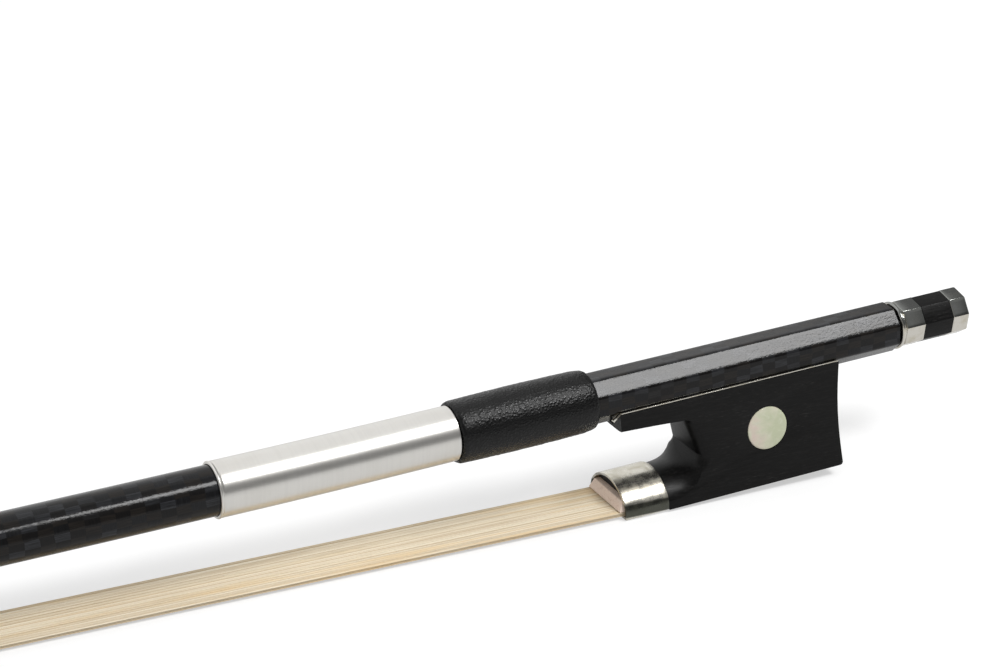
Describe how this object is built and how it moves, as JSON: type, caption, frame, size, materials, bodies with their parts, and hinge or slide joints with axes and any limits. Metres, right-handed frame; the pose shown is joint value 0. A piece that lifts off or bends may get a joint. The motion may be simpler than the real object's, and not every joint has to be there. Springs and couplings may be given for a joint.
{
  "type": "violin bow",
  "caption": "Violin bow with a carbon-fibre stick, ebony frog on a screw, hair ribbon, silver lapping, leather grip and round-eyed frog cheeks.",
  "frame": {"origin": "middle of the bow's length and width, at the height of the surface it stands on, which touches the ferrule's front edge and the tip plate", "axes": "+X from the head's nose to the button, +Y across the hair, +Z from the hair up to the stick"},
  "size_m": [0.7452, 0.0132, 0.0288],
  "materials": {
    "carbon": "glossy lacquered carbon-fibre composite",
    "ivory": "cream imitation ivory",
    "liner": "black fibre",
    "silver": "polished nickel silver",
    "leather": "black pebbled",
    "ebony": "oiled ebony",
    "pearl": "mother of pearl",
    "hair": "natural horsehair",
    "wood": "plain maple",
    "brass": "turned brass",
    "steel": "bright steel"
  },
  "bodies": {
    "stick": {"stick": "carbon", "tip_plate": "ivory", "tip_liner": "liner", "head_plug": "wood", "head_knot": "hair", "hair_ribbon": "hair", "silver_winding": "silver", "grip_leather": "leather", "nose_bush": "brass", "butt_bush": "brass"},
    "frog": {"frog_body": "ebony", "frog_liner": "silver", "liner_screw_front": "brass", "liner_screw_rear": "brass", "eyelet": "brass", "pearl_eye_left": "pearl", "pearl_eye_right": "pearl", "slide_base": "ebony", "pearl_slide": "pearl", "ferrule": "silver", "spread_wedge": "wood", "frog_plug": "wood", "frog_knot": "hair"},
    "screw": {"screw_shaft": "steel", "button_core": "ebony", "button_ring_front": "silver", "button_ring_rear": "silver", "button_cap": "silver"}
  },
  "joints": [
    {"name": "screw_turn", "type": "hinge", "parent": "stick", "child": "screw", "pos_m": [0.30138, 0, 0.02123], "axis": [-0.9988, 0, -0.0487], "range_deg": [-1290, 3090]},
    {"name": "frog_slide", "type": "slide", "parent": "stick", "child": "frog", "axis": [0.9988, 0, 0.0487], "range_m": [-0.0025, 0.006], "deforming": ["hair_ribbon"]}
  ],
  "couplings": [
    {"joint": "screw_turn", "follows": "frog_slide", "rad_per_m": 8976}
  ]
}
